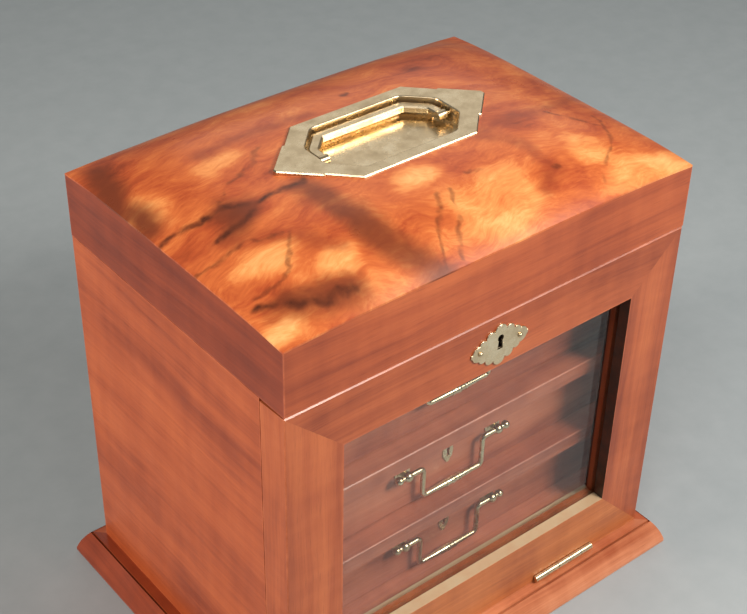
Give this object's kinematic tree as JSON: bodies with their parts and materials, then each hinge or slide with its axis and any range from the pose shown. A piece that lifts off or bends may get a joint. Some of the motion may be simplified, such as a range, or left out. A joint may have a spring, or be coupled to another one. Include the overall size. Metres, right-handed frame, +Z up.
{
  "type": "jewellery chest with drawers",
  "caption": "Wooden jewellery cabinet with a domed hinged lid, a glazed fall-front door, lined drawers behind it and a flush brass carrying handle.",
  "frame": {"origin": "centre of the plinth's footprint, on the surface that the chest stands on", "axes": "+Z up, front with the glazed door faces -Y, +X to the right seen from the front"},
  "size_m": [0.354, 0.2624, 0.3556],
  "materials": {
    "case_wood": "french polished",
    "door_wood": "french polished",
    "figured_veneer": "french polished",
    "drawer_wood": "satin",
    "inner_wood": "plain planed",
    "brass": "polished",
    "glass": "clear",
    "velvet": "cut pile"
  },
  "bodies": {
    "case": {"plinth_front": "case_wood", "plinth_left": "case_wood", "plinth_right": "case_wood", "plinth_back": "case_wood", "case_side_left": "case_wood", "case_side_right": "case_wood", "case_back": "case_wood", "case_front_rails": "case_wood", "drawer_board_bottom": "inner_wood", "drawer_board_lower": "inner_wood", "drawer_board_upper": "inner_wood", "deck_board": "inner_wood", "deck_lining": "velvet", "door_hinge_leaves_fixed": "brass", "lid_hinge_leaves_fixed": "brass", "hinge_pins": "brass", "hinge_screws_case": "brass"},
    "door": {"door_stile_left": "door_wood", "door_stile_right": "door_wood", "door_rail_top": "door_wood", "door_rail_bottom": "door_wood", "door_glass": "glass", "door_glazing_beads": "case_wood", "door_hinge_leaves_moving": "brass", "door_hinge_screws_door": "brass", "lock_case": "brass", "door_escutcheon": "brass", "escutcheon_pins": "brass"},
    "lock_bolt": {"lock_bolt": "brass"},
    "lid": {"lid_wall_front": "case_wood", "lid_wall_back": "case_wood", "lid_wall_left": "case_wood", "lid_wall_right": "case_wood", "lid_top_panel": "inner_wood", "lid_veneer": "figured_veneer", "lid_lining": "velvet", "lid_hinge_leaves_moving": "brass", "lid_hinge_screws_lid": "brass", "lock_link_plate": "brass", "carry_handle_plate": "brass", "carry_handle_screws": "brass"},
    "carry_handle": {"carry_handle_bail": "brass"},
    "drawer_top": {"drawer_top_front": "drawer_wood", "drawer_top_sides_and_back": "inner_wood", "drawer_top_bottom": "inner_wood", "drawer_top_lining": "velvet", "drawer_top_pull_posts": "brass"},
    "drawer_middle": {"drawer_middle_front": "drawer_wood", "drawer_middle_sides_and_back": "inner_wood", "drawer_middle_bottom": "inner_wood", "drawer_middle_lining": "velvet", "drawer_middle_pull_posts": "brass"},
    "drawer_bottom": {"drawer_bottom_front": "drawer_wood", "drawer_bottom_sides_and_back": "inner_wood", "drawer_bottom_bottom": "inner_wood", "drawer_bottom_lining": "velvet", "drawer_bottom_pull_posts": "brass"},
    "pull_top": {"drawer_top_bail": "brass"},
    "pull_middle": {"drawer_middle_bail": "brass"},
    "pull_bottom": {"drawer_bottom_bail": "brass"}
  },
  "joints": [
    {"name": "lid_hinge", "type": "hinge", "parent": "case", "child": "lid", "pos_m": [0, 0.11715, 0.28165], "axis": [-1, 0, 0], "range_deg": [0, 100]},
    {"name": "door_hinge", "type": "hinge", "parent": "case", "child": "door", "pos_m": [0, -0.11525, 0.0231], "axis": [1, 0, 0], "range_deg": [0, 94]},
    {"name": "lock_throw", "type": "slide", "parent": "door", "child": "lock_bolt", "axis": [0, 0, 1], "range_m": [0, 0.006]},
    {"name": "carry_handle_swing", "type": "hinge", "parent": "lid", "child": "carry_handle", "pos_m": [0, 0, 0.3501], "axis": [1, 0, 0], "range_deg": [0, 90]},
    {"name": "drawer_top_slide", "type": "slide", "parent": "case", "child": "drawer_top", "axis": [0, -1, 0], "range_m": [0, 0.15]},
    {"name": "drawer_middle_slide", "type": "slide", "parent": "case", "child": "drawer_middle", "axis": [0, -1, 0], "range_m": [0, 0.105]},
    {"name": "drawer_bottom_slide", "type": "slide", "parent": "case", "child": "drawer_bottom", "axis": [0, -1, 0], "range_m": [0, 0.061]},
    {"name": "pull_top_swing", "type": "hinge", "parent": "drawer_top", "child": "pull_top", "pos_m": [0, -0.08095, 0.227], "axis": [-1, 0, 0], "range_deg": [0, 50]},
    {"name": "pull_middle_swing", "type": "hinge", "parent": "drawer_middle", "child": "pull_middle", "pos_m": [0, -0.08095, 0.149], "axis": [-1, 0, 0], "range_deg": [0, 50]},
    {"name": "pull_bottom_swing", "type": "hinge", "parent": "drawer_bottom", "child": "pull_bottom", "pos_m": [0, -0.08095, 0.086], "axis": [-1, 0, 0], "range_deg": [0, 50]}
  ],
  "couplings": [
    {"joint": "drawer_top_slide", "follows": "door_hinge", "m_per_rad": 0.0914},
    {"joint": "drawer_middle_slide", "follows": "door_hinge", "m_per_rad": 0.064},
    {"joint": "drawer_bottom_slide", "follows": "door_hinge", "m_per_rad": 0.0371}
  ]
}
